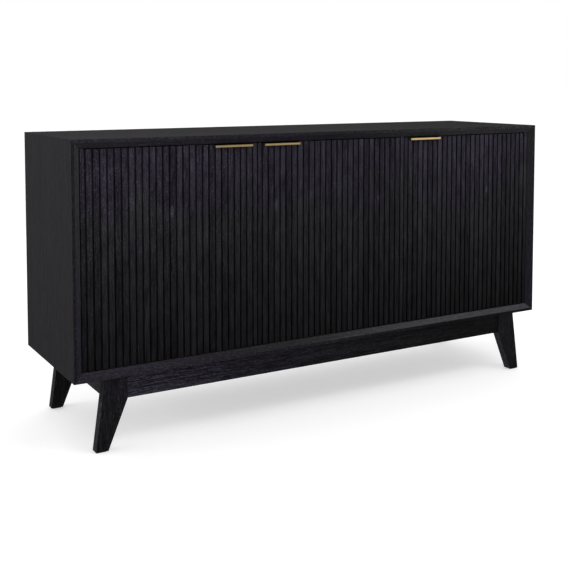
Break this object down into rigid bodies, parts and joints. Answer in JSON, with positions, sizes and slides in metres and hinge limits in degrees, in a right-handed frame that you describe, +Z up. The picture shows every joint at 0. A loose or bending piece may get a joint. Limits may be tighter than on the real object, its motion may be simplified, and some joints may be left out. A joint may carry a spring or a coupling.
{
  "type": "sideboard buffet",
  "caption": "Low mitred sideboard with vertically fluted inset doors that swing on knife hinges, slim edge pulls, adjustable shelves and a splayed leg base.",
  "frame": {"origin": "on the floor, under the centre of the case", "axes": "+X along the width to the right-hand side seen from the front, +Y to the back, +Z up; the doors face -Y"},
  "size_m": [1.5, 0.406, 0.772],
  "materials": {
    "stained_oak": "black-stained open-grain oak, satin",
    "stained_panel": "black-stained oak veneer, satin",
    "brushed_brass": "brushed",
    "steel": "satin",
    "black_steel": "satin black coating",
    "nylon": "matte black"
  },
  "bodies": {
    "carcass": {"back_panel": "stained_panel", "back_rail": "stained_oak", "bottom_panel": "stained_panel", "centre_stretcher": "stained_oak", "door_left_bottom_case_leaf": "black_steel", "door_left_catch": "nylon", "door_left_magnet": "steel", "door_left_top_case_leaf": "black_steel", "door_middle_bottom_case_leaf": "black_steel", "door_middle_catch": "nylon", "door_middle_magnet": "steel", "door_middle_top_case_leaf": "black_steel", "door_right_bottom_case_leaf": "black_steel", "door_right_catch": "nylon", "door_right_magnet": "steel", "door_right_top_case_leaf": "black_steel", "front_rail": "stained_oak", "left_back_block": "stained_oak", "left_back_glide": "nylon", "left_back_leg": "stained_oak", "left_front_block": "stained_oak", "left_front_glide": "nylon", "left_front_leg": "stained_oak", "left_side_panel": "stained_panel", "left_side_rail": "stained_oak", "narrow_shelf": "stained_panel", "narrow_shelf_left_back_pin": "steel", "narrow_shelf_left_front_pin": "steel", "narrow_shelf_right_back_pin": "steel", "narrow_shelf_right_front_pin": "steel", "partition": "stained_panel", "right_back_block": "stained_oak", "right_back_glide": "nylon", "right_back_leg": "stained_oak", "right_front_block": "stained_oak", "right_front_glide": "nylon", "right_front_leg": "stained_oak", "right_side_panel": "stained_panel", "right_side_rail": "stained_oak", "top_panel": "stained_panel", "wide_shelf": "stained_panel", "wide_shelf_left_back_pin": "steel", "wide_shelf_left_front_pin": "steel", "wide_shelf_right_back_pin": "steel", "wide_shelf_right_front_pin": "steel"},
    "door_left": {"door_left": "stained_oak", "door_left_top_leaf": "black_steel", "door_left_bottom_leaf": "black_steel", "door_left_pull": "brushed_brass", "door_left_strike_plate": "steel"},
    "door_middle": {"door_middle": "stained_oak", "door_middle_top_leaf": "black_steel", "door_middle_bottom_leaf": "black_steel", "door_middle_pull": "brushed_brass", "door_middle_strike_plate": "steel"},
    "door_right": {"door_right": "stained_oak", "door_right_top_leaf": "black_steel", "door_right_bottom_leaf": "black_steel", "door_right_pull": "brushed_brass", "door_right_strike_plate": "steel"}
  },
  "joints": [
    {"name": "door_left_hinge", "type": "hinge", "parent": "carcass", "child": "door_left", "pos_m": [-0.7205, -0.188, 0.47685], "axis": [0, 0, -1], "range_deg": [0, 105]},
    {"name": "door_middle_hinge", "type": "hinge", "parent": "carcass", "child": "door_middle", "pos_m": [0.23583, -0.188, 0.47685], "axis": [0, 0, 1], "range_deg": [0, 105]},
    {"name": "door_right_hinge", "type": "hinge", "parent": "carcass", "child": "door_right", "pos_m": [0.7205, -0.188, 0.47685], "axis": [0, 0, 1], "range_deg": [0, 105]}
  ]
}
